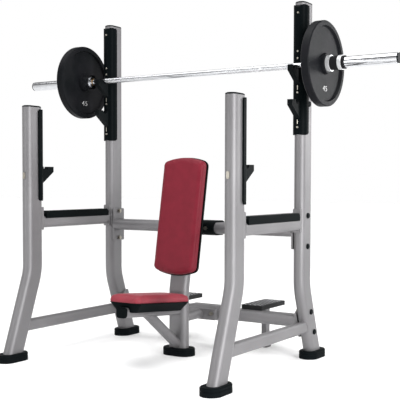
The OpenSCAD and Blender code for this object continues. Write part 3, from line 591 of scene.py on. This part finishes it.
weld("strut_foot_weld", circle_outline(0.025), along(strut[0].lerp(strut[1], 0.6), strut[1]),
     "centre_column")
weld("strut_top_weld", circle_outline(0.025), along(strut[0].lerp(strut[1], 0.4), strut[0]),
     "seat_tube")
weld("seat_tube_weld", rounded_outline(0.058, 0.048, 0.015),
     seat_place(0) @ Matrix.Translation((0, 0.12, 0)) @ Matrix.Rotation(-math.pi / 2, 4, "X"),
     "centre_column")


def lip(name, outline, place, radius, slot):
    """The rolled edge of a shell or board, where its pad meets it."""
    points = [place @ Vector((p.x, p.y, 0)) for p in outline]
    return loop_tube(name, even_loop(points, 0.005), radius, slot)


lip("seat_shell_lip", rounded_outline(0.1815, 0.4255, 0.030), seat_place(45.4), 0.0016,
    "black_plastic")
lip("back_board_lip", arched_outline(0.249, 0.599, 0.024, 0.0305), back_place(-0.0222), 0.0017,
    "black_board")


def pin_slot(name, place, tall):
    """A steel pin showing in an upright slot on a guard's face, set on a thin dark sheet that is
    painted shade for the slot's hollow.
    """
    # The first piece is no real rim: it is a thin dark sheet, painted shade where the slot's hollow
    # would be.
    for part, w, h, rise, slot in (("rim", 0.0085, tall, 0.0007, "hook_coating"),
                                   ("pin", 0.0045, tall - 0.005, 0.0013, "zinc_steel")):
        outline = rounded_outline(w, h, w / 2 - 0.0002, 6)
        top = inset(outline, 0.0005)
        n = len(outline)
        verts = [place @ Vector((p.x, p.y, -0.0004)) for p in outline]
        verts += [place @ Vector((p.x, p.y, rise - 0.0005)) for p in outline]
        verts += [place @ Vector((p.x, p.y, rise)) for p in top]
        faces = [(k * n + i, k * n + (i + 1) % n, (k + 1) * n + (i + 1) % n, (k + 1) * n + i)
                 for k in (0, 1) for i in range(n)]
        faces += [tuple(reversed(range(n))), tuple(range(2 * n, 3 * n))]
        add_object(f"{name}_{part}", mesh_from(name + part, verts, faces), slot)


def guard_seam(name, x, z):
    """The hairline joint between a guard's segments, run round its wrapped face."""
    points = []
    steps, tall, deep = 40, 0.0011, 0.0008
    for k in range(steps + 1):
        a = math.radians(180 * k / steps)
        points.append(Vector((x - SEAM_RADIUS * math.cos(a),
                              GUARD_Y - SEAM_RADIUS * math.sin(a), z)))
    back = [p + Vector((0, 0, tall)) for p in reversed(points)]
    verts = points + back
    verts += [p + (Vector((x, GUARD_Y, p.z)) - p).normalized() * deep for p in verts]
    n = len(points)
    m = 2 * n
    faces = [(i, i + 1, m - 2 - i, m - 1 - i) for i in range(n - 1)]
    faces += [(m + i + 1, m + i, 2 * m - 1 - i, 2 * m - 2 - i) for i in range(n - 1)]
    faces += [(i, m + i, m + (i + 1) % m, (i + 1) % m) for i in range(m)]
    add_object(name, mesh_from(name, verts, faces), "foot_rubber")


for side, x in POSTS:
    for level, z in (("upper", 1.325), ("lower", 1.162)):
        place = Matrix.Translation((x, GUARD_FACE_Y, z)) @ Matrix.Rotation(math.radians(90), 4, "X")
        pin_slot(f"{side}_{level}_slot", place, 0.028)
    for number, z in enumerate((1.1605, 1.319, 1.4785)):
        guard_seam(f"{side}_guard_seam_{number}", x, z)


# ---------- floor, light, camera ----------

HORIZON, ZENITH, FRONT = 1.0, 0.3, 0.45
CAMERA_SIDE = (0.45, -0.89, 0)
FLOOR_HALF = 30


def floor():
    g = Graph("studio_floor")
    grain = g.noise(90, 2)
    g.set(Base_Color=g.blend(g.spread(grain, 0, 1), (0.86, 0.86, 0.86), (0.90, 0.90, 0.90)),
          Roughness=0.7, Specular_IOR_Level=0.1,
          Emission_Color=(1, 1, 1, 1), Emission_Strength=0.14)
    corners = [(x * FLOOR_HALF, y * FLOOR_HALF, 0) for x, y in ((-1, -1), (1, -1), (1, 1), (-1, 1))]
    mesh = mesh_from("floor", corners, [(0, 1, 2, 3)])
    obj = bpy.data.objects.new("floor", mesh)
    bpy.context.scene.collection.objects.link(obj)
    obj.data.materials.append(g.material)


def softbox(name, place, target, width, height, watts):
    light = bpy.data.lights.new(name, "AREA")
    light.shape = "RECTANGLE"
    light.size, light.size_y = width, height
    light.energy = watts
    obj = bpy.data.objects.new(name, light)
    obj.location = place
    obj.rotation_euler = (Vector(target) - Vector(place)).to_track_quat("-Z", "Y").to_euler()
    obj.visible_camera = False
    bpy.context.scene.collection.objects.link(obj)


def studio():
    """Soft boxes, and a world that lights and reflects dimmer from above and from the front.

    The camera itself sees plain white all round.
    """
    world = bpy.data.worlds.new("studio")
    world.use_nodes = True
    tree = world.node_tree
    where = tree.nodes.new("ShaderNodeTexCoord")
    split = tree.nodes.new("ShaderNodeSeparateXYZ")
    ramp = tree.nodes.new("ShaderNodeMapRange")
    tree.links.new(where.outputs["Generated"], split.inputs[0])
    tree.links.new(split.outputs["Z"], ramp.inputs["Value"])
    ramp.inputs["From Min"].default_value, ramp.inputs["From Max"].default_value = 0.21, 0.4
    ramp.inputs["To Min"].default_value, ramp.inputs["To Max"].default_value = HORIZON, ZENITH
    facing = tree.nodes.new("ShaderNodeVectorMath")
    facing.operation = "DOT_PRODUCT"
    facing.inputs[1].default_value = CAMERA_SIDE
    tree.links.new(where.outputs["Generated"], facing.inputs[0])
    front = tree.nodes.new("ShaderNodeMapRange")
    front.inputs["From Min"].default_value, front.inputs["From Max"].default_value = 0.3, 0.7
    front.inputs["To Min"].default_value, front.inputs["To Max"].default_value = 1.0, FRONT
    tree.links.new(facing.outputs["Value"], front.inputs["Value"])
    both = tree.nodes.new("ShaderNodeMath")
    both.operation = "MULTIPLY"
    tree.links.new(ramp.outputs["Result"], both.inputs[0])
    tree.links.new(front.outputs["Result"], both.inputs[1])
    backdrop = tree.nodes.new("ShaderNodeMath")
    backdrop.operation = "MAXIMUM"
    tree.links.new(both.outputs["Value"], backdrop.inputs[0])
    tree.links.new(tree.nodes.new("ShaderNodeLightPath").outputs["Is Camera Ray"],
                   backdrop.inputs[1])
    tree.links.new(backdrop.outputs["Value"], tree.nodes["Background"].inputs["Strength"])
    tree.nodes["Background"].inputs["Color"].default_value = (1, 1, 1, 1)
    bpy.context.scene.world = world
    bpy.context.scene.view_settings.view_transform = "Standard"
    floor()
    softbox("key", (4.4, -1.6, 1.5), (0, 0, 0.9), 0.8, 2.8, 195)
    softbox("fill", (-1.6, -4.2, 1.4), (0, 0, 0.9), 1.2, 2.6, 30)
    softbox("rear", (1.75, 2.0, 1.45), (0.9, 0.2, 1.4), 0.5, 1.3, 17)
    softbox("top", (0.2, -0.6, 4.2), (0, 0, 0.0), 2.6, 2.6, 60)
    sun = bpy.data.lights.new("sky", "SUN")
    sun.energy = 2.3
    sun.angle = math.radians(70)
    obj = bpy.data.objects.new("sky", sun)
    obj.rotation_euler = (math.radians(12), math.radians(-8), 0)
    bpy.context.scene.collection.objects.link(obj)


def camera():
    """The photograph's own camera, as solved together with the object's sizes."""
    yaw, pitch, roll = 0.5793, 0.0423, 0.0023
    data = bpy.data.cameras.new("camera")
    data.lens = 77.15
    data.sensor_width = 36
    data.shift_y = 0.0443
    data.clip_start, data.clip_end = 0.1, 100
    obj = bpy.data.objects.new("camera", data)
    obj.location = (2.4502, -3.4863, 0.8762)
    turn = (Matrix.Rotation(yaw, 4, "Z") @ Matrix.Rotation(math.pi / 2 - pitch, 4, "X")
            @ Matrix.Rotation(roll, 4, "Z"))
    obj.rotation_euler = turn.to_euler()
    bpy.context.scene.collection.objects.link(obj)
    bpy.context.scene.camera = obj


studio()
camera()
